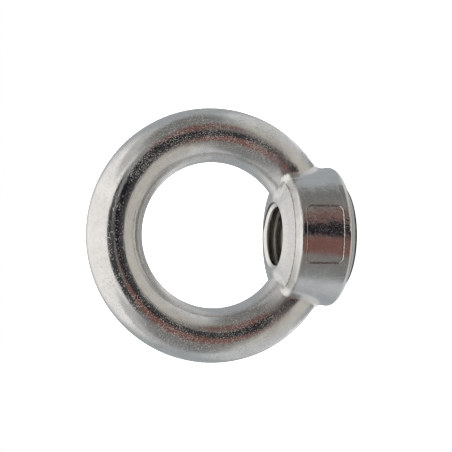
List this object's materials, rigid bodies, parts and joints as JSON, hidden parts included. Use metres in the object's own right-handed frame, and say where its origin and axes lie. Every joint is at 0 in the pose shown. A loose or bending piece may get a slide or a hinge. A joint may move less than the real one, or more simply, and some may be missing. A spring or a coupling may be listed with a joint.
{
  "type": "lifting eye nut",
  "caption": "Forged lifting eye nut in satin stainless steel: a round closed ring on a tapered round collar with a threaded hole through it.",
  "frame": {"origin": "centre of the flat seating face, on the thread axis", "axes": "+Z along the thread axis from the seating face towards the eye; the ring lies in the XZ plane, so the eye opens along Y"},
  "size_m": [0.0612, 0.0342, 0.0621],
  "materials": {
    "steel": "tumbled and satin polished stainless steel with fine grain and light scratches"
  },
  "bodies": {
    "root": {"eye_nut": "steel"}
  },
  "joints": []
}
